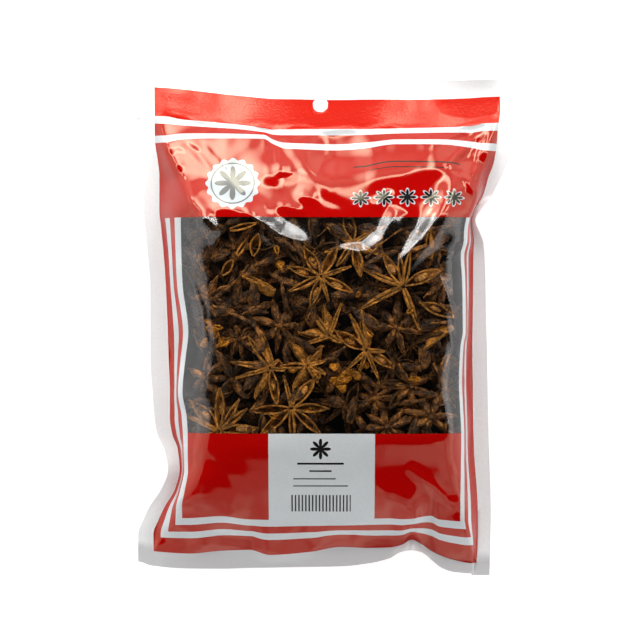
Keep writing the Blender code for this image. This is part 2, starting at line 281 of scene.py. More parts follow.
# Stars that show, face up: (x, y, radius, depth under the film, carpels as (direction, kind, length))
FACING = (
    (-2.2, 22.2, 17.5, 0.3, ((119, "wide", 1), (64, "open", 1), (20, "thin", 0.9), (-29, "open", 1),
        (-74, "thin", 0.75), (253, "open", 0.95), (207, "slit", 1), (167, "open", 1))),
    (38.2, 17.2, 22.0, 0.3, ((122, "open", 0.95), (96, "slit", 0.75), (76, "slit", 0.8),
        (26, "wide", 1), (-67, "rod", 1.05), (204, "rod", 1.15), (160, "rod", 1.05))),
    (-27.2, -22.8, 19.0, 0.5, ((129, "slit", 1), (106, "broad", 1), (172, "rod", 1.05),
        (196, "thin", 0.95), (247, "broad", 0.9), (-82, "open", 1), (-8, "thin", 0.4), (45, "thin", 0.3))),
    (-8.8, -21.8, 14.0, 1.2, ((180, "slit", 1), (122, "broad", 1.1), (48, "broad", 0.9),
        (240, "broad", 1.05), (14, "thin", 0.7), (-60, "thin", 0.7), (-25, "rod", 0.7))),
    (-16.8, -42.8, 20.0, 0.4, ((100, "thin", 0.85), (55, "wide", 1), (2, "open", 0.95),
        (-42, "open", 1), (-88, "slit", 0.95), (223, "open", 1), (186, "open", 1))),
    (-52.8, -54.2, 21.0, 0.4, ((85, "wide", 1.05), (133, "wide", 1.05), (157, "thin", 1.1),
        (52, "slit", 0.95), (38, "slit", 0.95), (7, "wide", 1.05), (205, "rod", 1), (320, "rod", 1))),
    (20.2, -14.2, 18.0, 0.8, ((152, "wide", 1.05), (112, "rod", 1.1), (92, "broad", 1.1),
        (225, "thin", 0.7), (250, "thin", 0.6), (-68, "thin", 0.85), (-34, "open", 0.9), (0, "thin", 0.5))),
    (1.8, -6.8, 15.5, 2.4, ((174, "broad", 1), (125, "rod", 0.9), (98, "broad", 1), (70, "thin", 1.1),
        (200, "thin", 0.9), (-30, "rod", 0.5))),
    (13.8, 39.6, 17.0, 1.8, ((105, "wide", 1), (33, "thin", 1.05), (196, "thin", 0.9),
        (-80, "open", 1.1), (150, "rod", 0.9), (-30, "rod", 0.8), (240, "slit", 0.9))),
)

# Stars that show their back: (x, y, radius, depth, turn, carpels)
TURNED = (
    (-22.2, -1.8, 15.0, 1.8, 8, 7), (34.8, -2.8, 18.0, 1.0, 32, 7), (42.8, -31.8, 17.5, 1.6, 20, 7),
    (52.2, -46.8, 15.0, 0.2, 5, 7), (24.0, -38.0, 17.0, 2.5, 40, 8), (7.5, -28.0, 12.0, 2.8, 15, 8),
    (-46.0, 36.0, 16.0, 3.0, 0, 7), (-35.0, 23.0, 14.0, 4.5, 25, 7), (-44.0, -9.0, 15.0, 4.0, 12, 8),
    (61.0, 20.0, 15.0, 2.5, 15, 7), (30.0, -52.0, 16.0, 2.0, 10, 8), (-60.0, 12.0, 15.0, 2.5, 30, 7),
    (-62.0, -28.0, 15.0, 2.5, 50, 7), (58.0, 38.0, 15.0, 3.0, 20, 8),
)
TURNED_KINDS = ("rod", "slit", "open")

# Single carpels: (hub end x, y, tip x, y, kind, depth)
LOOSE = (
    (65.2, 2.2, 45.4, 10.6, "wide", 0.5), (-24.5, 13.8, -41.5, 22.0, "broad", 0.8),
    (-35.8, 31.5, -33.6, 43.6, "open", 0.6), (-48.0, 45.2, -34.0, 48.8, "slit", 0.8),
    (65.0, -1.6, 47.0, -12.4, "broad", 1.2), (-44.0, 32.0, -38.0, 40.0, "slit", 1.5),
    (-52.0, 22.5, -45.0, 30.5, "open", 1.6), (60.5, -25.5, 63.0, -16.0, "broad", 2.0),
    (-41.8, 21.0, -27.2, 32.5, "back", 0.8), (-62.5, 24.0, -66.0, 38.0, "back", 1.5),
    (-18.0, 28.0, -28.0, 19.0, "back", 1.4), (-42.0, 3.0, -26.0, 9.5, "back", 0.8),
    (-45.0, 4.0, -60.0, 9.5, "back", 0.8), (-8.0, 10.0, -20.0, 14.5, "back", 2.0),
    (54.0, 30.0, 53.0, 45.5, "broad", 0.8), (57.0, 18.0, 66.0, 26.0, "back", 1.2),
    (-58.0, 30.0, -48.0, 40.0, "back", 2.0), (3.0, 12.0, 12.0, 2.0, "back", 2.2),
)

# Stalks: (thickness, depth, points)
STALKS = (
    (1.7, 0.8, ((-51.0, 14.0), (-57.0, 9.5), (-45.0, 3.6), (-36.0, -1.2), (-31.2, -7.2))),
    (1.5, 1.0, ((51.2, -0.8), (61.5, -0.2))),
    (1.3, 1.0, ((53.0, -20.5), (56.5, -27.5), (60.6, -35.4))),
    (1.2, 1.5, ((-38.0, 28.0), (-43.5, 21.0), (-50.0, 15.0))),
    (1.2, 2.0, ((-9.0, 2.0), (-2.0, 13.0))),
    (1.1, 2.0, ((38.0, 46.0), (27.0, 38.0), (20.0, 31.0))),
    (1.2, 1.4, ((-14.5, -30.2), (-12.0, -37.0))),
)
STALK_RINGS = 14
STALK_SIDES = 8
STALK_TONE = 0.35

# Broken flakes: (x, y, how many, spread). The shrink flattens a carpel into one.
FLAKES = (
    (-55.0, -3.0, 5, 1.6),
    (-52.0, -10.5, 4, 1.6),
    (7.0, -26.0, 7, 4.0),
    (16.0, -24.0, 5, 2.5),
    (0.0, -6.0, 16, 42.0),
)
FLAKE_KINDS = ("slit", "broad")
FLAKE_LENGTHS = (3, 7.5)
FLAKE_DEPTHS = (0.6, 3)
FLAKE_SHRINK = (1, 0.75, 0.4)

# How crumpled carpels are
CRUMPLED = {"face up": 0.14, "face down": 0.28, "single back": 0.5, "flake": 0.7, "between": 0.36}

# The filling: stars of 6 to 8 carpels and single carpels, drawn at random in a box. A layer is its
# piece, spacing, depths, radii, lean, share face down, shade (painted shade, darker for layers deep in
# the heap), and whether it lies on the back film.
FILL_SEED = 5
FILL_BOX = (-70, -66, 72, 56)
FILL_TRIES = 4000
CARPEL_COUNTS = (6, 9)
BETWEEN_LAYER = ("pods_between", 14.5, (3, 6), (14, 18), 0.35, 0.65, 0.32, False)
DEEP_LAYERS = (
    ("pods_below", 16.0, (7.0,), (14, 19), 0.5, 0.5, 0.2, False),
    ("pods_at_back", 19.0, (1.0,), (15, 20), 0.08, 0.4, 1.0, True),
)
BETWEEN_SPACING = 10.0
BETWEEN_LENGTHS = (14, 19)
BETWEEN_MIDDLE = (8, 0, 0)
BETWEEN_DEPTHS = (5, 9)
BETWEEN_SHADE = 0.45

# How far pods may lean out of the film's slope
LEANS = {"face up": 0.04, "face down": 0.12, "flake": 0.8, "between": 0.9}

# The heap keeps this clear of the films, and stays out where they are closer than the least gap
CLEARANCE = 0.45
LEAST_GAP = 5.0

# Where the films' heights are read, every millimetre, and their height where there is no film
RASTER_START = (-100, -130)
RASTER_SHAPE = (261, 201)
NO_FILM = 8.0
SEAT_REACH = 7.0

# The dark middle of the heap, painted shade for the filling's shadowed depths: the box of its grid, its
# step, and its depths under and over the films
CORE_BOX = (-92, -112, 92, 100)
CORE_STEP = 2.0
CORE_DEPTHS = (11.5, 7)

# Skins: (colours of lips, hollow and back, roughness, gloss, strength of the mottling and of the crests'
# painted highlight and shade)
SEED_BROWN = (0.34, 0.155, 0.028)
# A near-black brown for the heap's dark middle: painted shade
CORE_SHADE = (0.01, 0.006, 0.003)
SKINS = {
    "pod_face": ((0.275, 0.123, 0.023), (0.205, 0.088, 0.014), (0.105, 0.045, 0.010), 0.5, 0.16, 0.6),
    "pod_back": ((0.225, 0.101, 0.024), (0.150, 0.067, 0.018), (0.056, 0.028, 0.0125), 0.5, 0.24, 1.0),
    "seed_skin": (SEED_BROWN, SEED_BROWN, SEED_BROWN, 0.22, 0.5, 0.6),
    "flake_skin": ((0.42, 0.178, 0.021), (0.37, 0.145, 0.016), (0.25, 0.095, 0.011), 0.6, 0.1, 0.6),
    "core_shade": (CORE_SHADE, CORE_SHADE, CORE_SHADE, 0.8, 0.1, 0.6),
}
SHADOW = (0.004, 0.003, 0.002)
PIECES = {
    "pods_face_up": "pod_face",
    "pods_face_down": "pod_back",
    "seeds": "seed_skin",
    "stalks": "pod_back",
    "flakes": "flake_skin",
    "pods_between": "pod_back",
    "pods_below": "pod_face",
    "pods_at_back": "pod_face",
}

# Mottling by a noise: its darkest and lightest values, how strong it is, and how much darker and
# lighter it makes each channel at full strength. The patches are the skin's own uneven tone. The crest
# noise also makes the bump, so it paints crests lighter and creases darker: partly the skin's colour,
# partly painted highlight and shade.
PATCHES = (0.42, 0.62, 0.85, (-0.7, -0.7, -0.7), (1.1, 0.95, 0.65))
CREST_TONE_AND_SHADE = (0.35, 0.8, 0.8, (-0.62, -0.62, -0.62), (1.6, 1.4, 0.9))
PATCH_NOISE = {"Scale": 260, "Detail": 4, "Roughness": 0.65}
CREST_NOISE = {
    "Scale": 0.5, "Detail": 3, "Roughness": 0.6, "Offset": 0.95, "Gain": 1.4, "Distortion": 0.5,
}
CREST_BUMP = {"Strength": 0.8, "Distance": 1.2 * MM}
ROUGHNESS_SPREAD = (-0.1, 0.15)

# Studio: where the dark overhead ends in the west, east, north and south, in degrees from the zenith,
# and how bright the surround is
HOLE = (56, 66, 53, 44)
SURROUND_SOUTH = (0.88, 0.88, 0.89)
SURROUND_NORTH = (1.35, 1.3, 1.27)
SURROUND_RISE = (0.85, 1.4)
SURROUND_PATCHES = (0.7, 1.3)
RIM = 7

# Over what each change of the surround is spread, by how far east, north or up a direction points, or
# by how far it is beyond the end of the dark
SIDES_MEET = (-0.5, 0.5)
NORTH_BEGINS = (0.2, 0.8)
SOUTH_BEGINS = (-0.2, -0.8)
SURROUND_FALLS = (0.62, 0.05)
SURROUND_BEGINS = (-0.02, 0.01)
UNDER_THE_DARK = 0.01
RIM_BEGINS = (-0.03, 0.008)
RIM_ENDS = (0.012, 0.075)
RIM_NORTH = (0.15, 0.6)
TINT_CHANGES = (-1, 0.5)
PATCH_SCALE = 3.2
PATCH_RANGE = (0.35, 0.65)

# The white table, its top a little below the pouch
FLOOR_GLOW = 0.85
FLOOR_GREY = (0.4, 0.4, 0.4)
FLOOR_SIDE = 6
FLOOR_DROP = 0.2 * MM

# Bright lamps in the surround: (degrees round from the east, degrees from overhead, half width,
# radiance)
LAMPS = ((128, 61, 6, 6), (52, 63, 6, 6), (114, 74, 5, 8))
LAMP_CORE = 0.7

# Softboxes near the header, mirrored in parts of the film, and lights that nothing mirrors:
# (name, place, what it points at, size, radiance)
SOFTBOXES = (
    ("softbox_left", (-0.10, 0.40, 0.19), (-0.10, 0, 0), (0.19, 0.20), 11.0),
    ("softbox_right", (0.10, 0.40, 0.21), (0.10, 0, 0), (0.09, 0.18), 11.0),
)
LIGHTS = (
    ("key", (0, 0.22, 0.2), (0, 0.06, 0.03), (0.3, 0.05), 0.8),
    ("top", (0, 0, 0.9), (0, 0, 0), (0.6, 0.6), 0.5),
    ("fill", (0, -0.45, 0.25), (0, -0.08, 0.02), (0.5, 0.12), 1.2),
)

# The camera looks straight down on a square of this size, at this height over the table
CAMERA_PLACE = (-2.75 * MM, 0.75 * MM, 1.6)
VIEW_SIZE = 0.320
VIEW_HEIGHT = 0.02
SENSOR = 36


def curve_through(knots, at):
    """A smooth curve through (place, value) knots that never overshoots them."""
    place, value = np.array(knots).T
    return smooth_steps(place, value[:, None], np.atleast_1d(at)).reshape(np.shape(at))


def smooth_steps(stations, values, at):
    """A smooth curve through values[k] at stations[k], for each column of values, read at each place."""
    stations = np.asarray(stations, float)
    values = np.broadcast_to(values, (len(stations), len(at)))
    gap = np.diff(stations)[:, None]
    rate = np.diff(values, axis=0) / gap
    before, after = rate[:-1], rate[1:]
    same_way = before * after > 0
    total = np.where(same_way, before + after, 1)
    slope = np.zeros_like(values)
    slope[1:-1] = np.where(same_way, 2 * before * after / total, 0)
    at = np.clip(at, stations[0], stations[-1])
    k = np.clip(np.searchsorted(stations, at, side="right") - 1, 0, len(stations) - 2)
    n = np.arange(len(at))
    span = gap[k, 0]
    u = (at - stations[k]) / span
    start = (1 + 2 * u) * (1 - u) ** 2 * values[k, n] + u * (1 - u) ** 2 * span * slope[k, n]
    end = u**2 * (3 - 2 * u) * values[k + 1, n] + u**2 * (u - 1) * span * slope[k + 1, n]
    return start + end


def ease(u):
    """0 below 0, 1 above 1, smooth between."""
    u = np.clip(u, 0, 1)
    return u * u * (3 - 2 * u)


def bump(along, centre, half_width):
    """A rounded bump along a line, 1 at its centre."""
    return np.exp(-(((along - centre * MM) / (half_width * MM)) ** 2))


def edge_distances(p, q):
    """Distance on the flat film from the left, right, bottom and top edges."""
    return p + HALF_WIDTH, HALF_WIDTH - p, q + HALF_LENGTH, HALF_LENGTH - q


def seal_distances(p, q):
    """Distance on the flat film inwards from each seal, in the same order."""
    return [distance - seal for distance, seal in zip(edge_distances(p, q), SEALS)]


def drawn_in(insets, stations, along, depth):
    """How far the filling draws a film point in from one edge."""
    table = np.array(insets) * MM
    columns = [curve_through(table[:, [0, k]], along) for k in (1, 2, 3)]
    values = np.array([*columns, np.zeros_like(columns[0])])
    return smooth_steps(np.array(stations) * MM, values, depth)


def plan(p, q):
    """Where a film point lies over the table."""
    left, right, bottom, top = edge_distances(p, q)
    x = p + drawn_in(LEFT_INSETS, LEFT_STATIONS, q, left)
    x = x - drawn_in(RIGHT_INSETS, RIGHT_STATIONS, q, right)
    y = q + drawn_in(BOTTOM_INSETS, BOTTOM_STATIONS, p, bottom)
    return x, y - drawn_in(TOP_INSETS, TOP_STATIONS, p, top)


def waves(place, terms):
    """Sum of (wavelength, height, phase) waves."""
    return sum(
        h * MM * np.sin(2 * math.pi * place / (length * MM) + phase) for length, h, phase in terms
    )


def puckers(p, q):
    """Ripples that start at the seals and die out up the flanks of the pouch."""
    sides = (waves(q, SIDE_PUCKERS), waves(q + RIGHT_SHIFT, SIDE_PUCKERS))
    ends = (waves(p, END_PUCKERS), waves(p + TOP_SHIFT, END_PUCKERS))
    height = 0
    for distance, ripple in zip(seal_distances(p, q), sides + ends):
        inside = np.maximum(distance, 0) / PUCKER_REACH
        height = height + ripple * inside * np.exp(1 - inside)
    return height


def fold(x, y, shape, half_width, height, points):
    """A rounded ridge, valley, swell or step along a line of points."""
    points = np.array(points, float) * MM
    steps = np.diff(points, axis=0)
    lengths = np.linalg.norm(steps, axis=1)
    travelled = np.concatenate(([0], np.cumsum(lengths)))
    nearest, share, side = np.full(np.shape(x), np.inf), np.zeros(np.shape(x)), np.ones(np.shape(x))
    for k, (start, step) in enumerate(zip(points[:-1], steps)):
        dx, dy = x - start[0], y - start[1]
        t = np.clip((dx * step[0] + dy * step[1]) / (step @ step), 0, 1)
        distance = np.hypot(dx - t * step[0], dy - t * step[1])
        closer = distance < nearest
        nearest = np.where(closer, distance, nearest)
        share = np.where(closer, (travelled[k] + t * lengths[k]) / travelled[-1], share)
        side = np.where(closer, np.sign(step[0] * dy - step[1] * dx), side)
    off = nearest / (half_width * MM)
    if shape == "swell":
        return height * MM * np.exp(-(off**2))
    taper = np.sin(math.pi * np.clip(share, 0, 1)) ** FOLD_TAPER
    if shape == "ridge":
        return height * MM * taper * np.exp(-(off**2))
    fading = np.exp(-((off / STEP_SPREAD) ** 2))
    return height * MM * taper * 0.5 * np.tanh(side * off) * fading


def wrinkles(x, y):
    """Fine wrinkles strewn over the film, by a seeded draw."""
    draw = np.random.default_rng(WRINKLE_SEED)
    height = np.zeros(np.shape(x))
    for count, longest, half_width, tall in WRINKLES:
        for _ in range(count):
            cx, cy = draw.uniform(*WRINKLED)
            angle = draw.uniform(0, math.pi)
            length = longest * draw.uniform(0.4, 1)
            dx, dy = 0.5 * length * math.cos(angle), 0.5 * length * math.sin(angle)
            bend = draw.uniform(-0.2, 0.2)
            line = ((cx - dx, cy - dy), (cx - dy * bend, cy + dx * bend), (cx + dx, cy + dy))
            sign = draw.choice((-1, 1))
            height += fold(x, y, "ridge", half_width * draw.uniform(0.6, 1.3), sign * tall, line)
    return height


def edge_dip(p, distance, dips, reach):
    """How far a free edge dips, dying out over its reach."""
    dip = sum(h * MM * bump(p, centre, half_width) for centre, half_width, h in dips)
    return dip * ease((reach - distance) / reach)


def seam_height(p, q):
    """Height of the seal, and of the surface half way between the films."""
    left, right, bottom, top = edge_distances(p, q)
    corner = (np.abs(p) / HALF_WIDTH * np.abs(q) / HALF_LENGTH) ** 3
    height = SEAM_HEIGHT * (1 - CORNER_DROOP * corner)
    height = height * (1 - HEADER_DROOP * ease((HEADER_DROOP_REACH - top) / HEADER_DROOP_REACH))
    height = height - edge_dip(p, top, HEADER_DIPS, HEADER_DIP_REACH)
    height = height - edge_dip(p, bottom, FOOT_DIPS, FOOT_DIP_REACH)
    edges = {"left": (q, left), "right": (q, right), "bottom": (p, bottom), "top": (p, top)}
    for edge, centre, lift, half_width in BUCKLES:
        along, distance = edges[edge]
        height = height + lift * MM * bump(along, centre, half_width) * np.exp(-distance / BUCKLE_REACH)
    return height


def seal_bead(p, q):
    """The uneven bead where the header's seal ends."""
    off = (HALF_LENGTH - q - HEADER - waves(p, BEAD_WANDER)) / BEAD_HALF_WIDTH
    return (BEAD_HEIGHT + waves(p, BEAD_UNEVENNESS)) * np.exp(-(off**2))


def front_height(p, q):
    """The front rises evenly from each seal and levels off over the filling, with a low crown."""
    inside = seal_distances(p, q)
    shares = [np.maximum(d, 0.01 * MM) / length for d, length in zip(inside, SLOPE_LENGTHS)]
    rise = (1 + sum(share**-LEVELLING for share in shares)) ** (-1 / LEVELLING)
    crown = rise**2 * (1 - (p / HALF_WIDTH) ** 2) * (1 - (q / HALF_LENGTH) ** 2)
    x, y = plan(p, q)
    folds = sum(fold(x, y, *row) for row in FOLDS) + wrinkles(x, y)
    folds = folds * ease(np.minimum.reduce(inside) / FOLD_START)
    height = seam_height(p, q) + SEAL_THICKNESS / 2 + FRONT_RISE * rise + FRONT_CROWN * crown
    return height + puckers(p, q) + folds + seal_bead(p, q)


def back_height(p, q):
    """The back lies flat on the table, and rises to the seals round it."""
    insides = [np.maximum(distance, 0) / BACK_SLOPE_LENGTH for distance in seal_distances(p, q)]
    drop = BACK_FILL * math.prod(1 - np.exp(-inside) for inside in insides)
    return np.maximum((seam_height(p, q) - SEAL_THICKNESS / 2) * (1 - np.minimum(drop, 1)), 0)


def print_lines(half, near, far, extra):
    """The print's lines across one direction of the flat film, from both edges."""
    near_lines = [-half + depth * MM for depth in near]
    return sorted([-half, half, *extra, *near_lines, *(half - depth * MM for depth in far)])


def grid_lines(lines, step):
    """Lines close together, with one on every print line."""
    out = [lines[0]]
    for start, end in zip(lines[:-1], lines[1:]):
        cells = max(1, round((end - start) / step))
        out += list(np.linspace(start, end, cells + 1)[1:])
    return np.array(out)


PRINT_P = print_lines(HALF_WIDTH, FRAME_LEFT, FRAME_RIGHT, LABEL_P)
PRINT_Q = print_lines(HALF_LENGTH, FRAME_BOTTOM, FRAME_TOP, WINDOW_Q)


def band_at(distance, lines):
    """Which band between the print's lines a distance from an edge falls in: 0 at the edge."""
    return np.floor(np.interp(distance / MM, (0, *lines), range(len(lines) + 1))).astype(int)


def ink_at(p, q):
    """Which of the film's materials is at each place."""
    left, right, bottom, top = edge_distances(p, q)
    sides = (band_at(left, FRAME_LEFT), band_at(right, FRAME_RIGHT), band_at(bottom, FRAME_BOTTOM))
    ring = np.minimum.reduce(sides)
    above, below = q > WINDOW_Q[1], q < WINDOW_Q[0]
    ink = np.where(above & (ring > 0), HEADER_INKS[band_at(top, FRAME_TOP)], FRAME_INKS[ring])
    ink = np.where((ring == 5) & ~above & ~below, CLEAR, ink)
    label = (p > LABEL_P[0]) & (p < LABEL_P[1]) & below & (ring >= 4)
    return np.where(label, WHITE, ink)


def new_object(name, data):
    obj = bpy.data.objects.new(name, data)
    bpy.context.scene.collection.objects.link(obj)
    return obj


def mesh_object(name, points, faces, materials):
    """A smooth mesh with these materials, its points in metres."""
    mesh = bpy.data.meshes.new(name)
    mesh.from_pydata(points.tolist(), [], faces)
    for material in materials:
        mesh.materials.append(material)
    mesh.shade_smooth()
    return new_object(name, mesh)


def grid_faces(columns, rows):
    """Quads of a grid of points, row by row."""
    corner = (np.arange(rows - 1)[:, None] * columns + np.arange(columns - 1)).ravel()
    return np.stack([corner, corner + 1, corner + columns + 1, corner + columns], axis=1)


def film_sheet(name, height, step, materials, up):
    """A film sheet with its print as materials, its hang hole, and a UV map of the flat film."""
    across, along = grid_lines(PRINT_P, step), grid_lines(PRINT_Q, step)
    p, q = (a.ravel() for a in np.meshgrid(across, along))
    x, y = plan(p, q)
    faces = grid_faces(len(across), len(along))
    if not up:
        faces = faces[:, ::-1]
    hole_x, hole_y = HANG_HOLE_CENTRE
    out = np.hypot(x - hole_x, y - hole_y)
    holed = (out[faces] < HANG_HOLE_RADIUS).all(axis=1)
    rim = np.intersect1d(faces[holed], faces[~holed])
    faces = faces[~holed]
    scale = HANG_HOLE_RADIUS / out[rim]
    x[rim] = hole_x + (x[rim] - hole_x) * scale
    y[rim] = hole_y + (y[rim] - hole_y) * scale
    obj = mesh_object(name, np.stack([x, y, height(p, q)], axis=1), faces.tolist(), materials)
    mesh = obj.data
    corners = faces.ravel()
    flat = np.stack([p[corners], q[corners]], axis=1) / POUCH_LENGTH + 0.5
    mesh.uv_layers.new(name="flat").data.foreach_set("uv", flat.ravel().astype(np.float32))
    ink = ink_at(p[faces].mean(axis=1), q[faces].mean(axis=1))
    mesh.polygons.foreach_set("material_index", ink.astype(np.int32))
    mesh.validate()
    return obj


class Wire:
    """What a node gives out. Arithmetic with it adds nodes to its tree."""

    def __init__(self, tree, socket):
        self.tree, self.socket = tree, socket

    def math(self, operation, other=0):
        return self.tree.math(operation, self, other)

    def __add__(self, other):
        return self.math("ADD", other)

    def __sub__(self, other):
        return self.math("SUBTRACT", other)

    def __rsub__(self, other):
        return self.tree.math("SUBTRACT", other, self)

    def __mul__(self, other):
        return self.math("MULTIPLY", other)

    def towards(self, other, share):
        """This value, with a share of it replaced by the other."""
        return self * (1 - share) + share * other

    def ramp(self, start, end, low=0.0, high=1.0):
        """Low up to the start, high from the end on, smooth between."""
        limits = {"From Min": start, "From Max": end, "To Min": low, "To Max": high}
        return self.tree.add("MapRange", {"Value": self, **limits}, interpolation_type="SMOOTHSTEP")


class Tree:
    """The nodes of a material, a light or the world."""

    def __init__(self, owner):
        owner.use_nodes = True
        self.nodes, self.links = owner.node_tree.nodes, owner.node_tree.links

    def feed(self, node, inputs):
        """Links wires to a node's inputs, and sets those that are numbers or colours."""
        for name, value in inputs.items():
            socket = node.inputs[name]
            if isinstance(value, Wire):
                self.links.new(value.socket, socket)
            else:
                socket.default_value = (*value, 1) if socket.type == "RGBA" else value

    def add(self, kind, inputs=None, out=0, **settings):
        """A new node, by one of its outputs."""
        node = self.nodes.new("ShaderNode" + kind)
        for name, value in settings.items():
            setattr(node, name, value)
        self.feed(node, inputs or {})
        return Wire(self, node.outputs[out])

    def math(self, operation, a, b):
        return self.add("Math", {0: a, 1: b}, operation=operation)

    def split(self, vector):
        """The three parts of a vector."""
        first = self.add("SeparateXYZ", {0: vector})
        return [Wire(self, socket) for socket in first.socket.node.outputs]

    def colours(self, value, *stops):
        """A colour for each value, between stops of (value, colour)."""
        wire = self.add("ValToRGB", {"Fac": value})
        elements = wire.socket.node.color_ramp.elements
        for place, _ in stops[1:-1]:
            elements.new(place)
        for element, (place, colour) in zip(elements, stops):
            element.position, element.color = place, (*colour, 1)
        return wire

    def mix(self, share, colour, other, blend="MIX"):
        """A colour with a share of the other laid over it."""
        inputs = {"Factor": share, 6: colour, 7: other}
        return self.add("Mix", inputs, 2, data_type="RGBA", blend_type=blend)


def new_material(name):
    """A material with its tree and its shader."""
    material = bpy.data.materials.new(name)
    tree = Tree(material)
    return material, tree, tree.nodes["Principled BSDF"]


def reach(p, q):
    """Distance from a point, given how far across and along it is."""
    return (p * p + q * q).math("SQRT")


def flower(p, q, radius, edge=0.0):
    """Eight pointed petals round a point, as a mask."""
    wave = (q.math("ARCTAN2", p) * HALF_THE_PETALS).math("COSINE").math("ABSOLUTE")
    petals = wave.math("POWER", PETAL_POINT) * (PETAL * radius)
    return reach(p, q).math("LESS_THAN", petals + (HEART * radius + edge))


def roundel(p, q, radius, lobes):
    """A roundel with a scalloped edge, as a mask."""
    wave = (q.math("ARCTAN2", p) * lobes).math("COSINE")
    return reach(p, q).math("LESS_THAN", wave * (SCALLOP * radius) + radius)


class Print:
    """Simple shapes printed on the flat film, as masks over it."""

    def __init__(self, tree):
        flat = tree.split(tree.add("UVMap", uv_map="flat"))
        self.p, self.q = ((part - 0.5) * (POUCH_LENGTH / MM) for part in flat[:2])

    def bar(self, low, high):
        sides = ((self.p, low[0], high[0]), (self.q, low[1], high[1]))
        across, along = (
            value.math("GREATER_THAN", start) * value.math("LESS_THAN", end)
            for value, start, end in sides
        )
        return across * along

    def with_rules(self, marks, rules):
        for rule in rules:
            marks = marks.math("MAXIMUM", self.bar(*rule))
        return marks

    def foot_shade(self):
        """The bottom seal, painted darker than the sides: painted shade where less light falls on it."""
        edge = -(HALF_LENGTH - BOTTOM_SEAL) / MM
        return ((self.q.ramp(edge + FOOT_SHADE_FADE, edge), FOOT_SHADE_FILM),)

    def panel_marks(self):
        """A scalloped badge with a flower in it, and plain rules over a row of flowers."""
        p, q = self.p - BADGE[0], self.q - BADGE[1]
        badge = roundel(p, q, BADGE_RADIUS, BADGE_LOBES)
        disc, middle = (reach(p, q).math("LESS_THAN", radius) for radius in BADGE_RING)
        grey = (disc - middle).math("MAXIMUM", flower(p, q, BADGE_FLOWER))
        start, end, place, spacing = FLOWER_ROW
        p, q = (self.p - start).math("MODULO", spacing) - spacing / 2, self.q - place
        row = self.bar((start, place - spacing / 2), (end, place + spacing / 2))
        white = badge.math("MAXIMUM", flower(p, q, ROW_FLOWER, ROW_FLOWER_EDGE) * row)
        black = self.with_rules(flower(p, q, ROW_FLOWER) * row, PANEL_RULES)
        return (white, BADGE_INK), (grey, GREY_INK), (black, BLACK_INK)

    def label_marks(self):
        """A flower, plain rules and a block of even stripes."""
        marks = flower(self.p - LABEL_MARK[0], self.q - LABEL_MARK[1], LABEL_FLOWER)
        wave = (self.p * (2 * math.pi / STRIPE_SPACING)).math("SINE")
        stripes = wave.math("GREATER_THAN", 0.1) * self.bar(*LABEL_STRIPES)
        return ((self.with_rules(marks, LABEL_RULES).math("MAXIMUM", stripes), BLACK_INK),)


def ink_material(name, colour, surface, marks=None, tint=(1, 1, 1), glow=0.0):
    """Ink under glossy film, faintly uneven. glow is painted light: an emission that stands in for the
    light the table sends up through the film.
    """
    material, tree, shader = new_material(name)
    roughness, grain, gloss = surface
    place = tree.add("TexCoord", out="Object")
    noise = tree.add("TexNoise", {"Vector": place, "Scale": GRAIN_SCALE, "Detail": 3})
    printed = tree.colours(noise, (0.3, [DARKEST_SHARE * part for part in colour]), (0.7, colour))
    for mask, ink in marks(Print(tree)) if marks else ():
        printed = tree.mix(mask, printed, ink)
    normal = tree.add("Bump", {"Strength": grain, "Distance": GRAIN_DEPTH, "Height": noise})
    tree.feed(shader, {"Base Color": printed, "Roughness": roughness, "Normal": normal})
    tree.feed(shader, {"Specular IOR Level": gloss, "Specular Tint": tint})
    tree.feed(shader, {"Emission Color": (1, 1, 1), "Emission Strength": glow})
    return material


def clear_material():
    """Clear film: what it doesn't mirror shows what is behind it."""
    material, tree, shader = new_material("clear_film")
    tree.nodes.remove(shader)
    grazing = tree.add("LayerWeight", {"Blend": 0.5}, "Facing").math("POWER", GRAZING_POWER)
    limits = {"To Min": CLEAR_MIRRORS[0], "To Max": CLEAR_MIRRORS[1]}
    mirrored = tree.add("MapRange", {"Value": grazing, **limits})
    clear = tree.add("BsdfTransparent", {"Color": CLEAR_TINT})
    gloss = tree.add("BsdfGlossy", {"Roughness": CLEAR_ROUGHNESS})
    surface = tree.add("MixShader", {0: mirrored, 1: clear, 2: gloss})
    tree.feed(tree.nodes["Material Output"], {"Surface": surface})
    return material


def pod_material(name, lip, hollow, back, roughness, gloss, mottle_and_shade):
    """Dried pod: lips, hollow and back differ in colour, and the back is wrinkled and mottled. Its crests
    are painted lighter and its creases darker, partly the skin's colour and partly painted highlight and
    shade.
    """
    material, tree, shader = new_material(name)
    tone = tree.add("Attribute", out="Fac", attribute_name="tone")
    shade = tree.add("Attribute", out="Fac", attribute_name="shade")
    skin = tree.add("Attribute", out="Vector", attribute_name="skin")
    patches = tree.add("TexNoise", {"Vector": tree.add("TexCoord", out="Object"), **PATCH_NOISE})
    crests = tree.add("TexNoise", {"Vector": skin, **CREST_NOISE}, noise_type="RIDGED_MULTIFRACTAL")
    colour = tree.colours(tone, (0, back), (0.5, hollow), (1, lip))
    for noise, (low, high, strength, darker, lighter) in ((patches, PATCHES), (crests, CREST_TONE_AND_SHADE)):
        ends = [[1 + mottle_and_shade * change for change in changes] for changes in (darker, lighter)]
        mottle = tree.colours(noise, (low, ends[0]), (high, ends[1]))
        colour = tree.mix(strength, colour, mottle, "MULTIPLY")
    least, most = (roughness + change for change in ROUGHNESS_SPREAD)
    uneven = tree.add("MapRange", {"Value": patches, "To Min": least, "To Max": most})
    normal = tree.add("Bump", {"Height": crests, **CREST_BUMP})
    tree.feed(shader, {"Base Color": tree.mix(shade, SHADOW, colour), "Roughness": uneven})
    tree.feed(shader, {"Specular IOR Level": gloss, "Normal": normal})
    return material


# A closed shape: its points, its faces, how light each point is by its place on the pod, and each
# point's place in the pod's own wrinkled skin
Shape = namedtuple("Shape", "points faces tone skin")


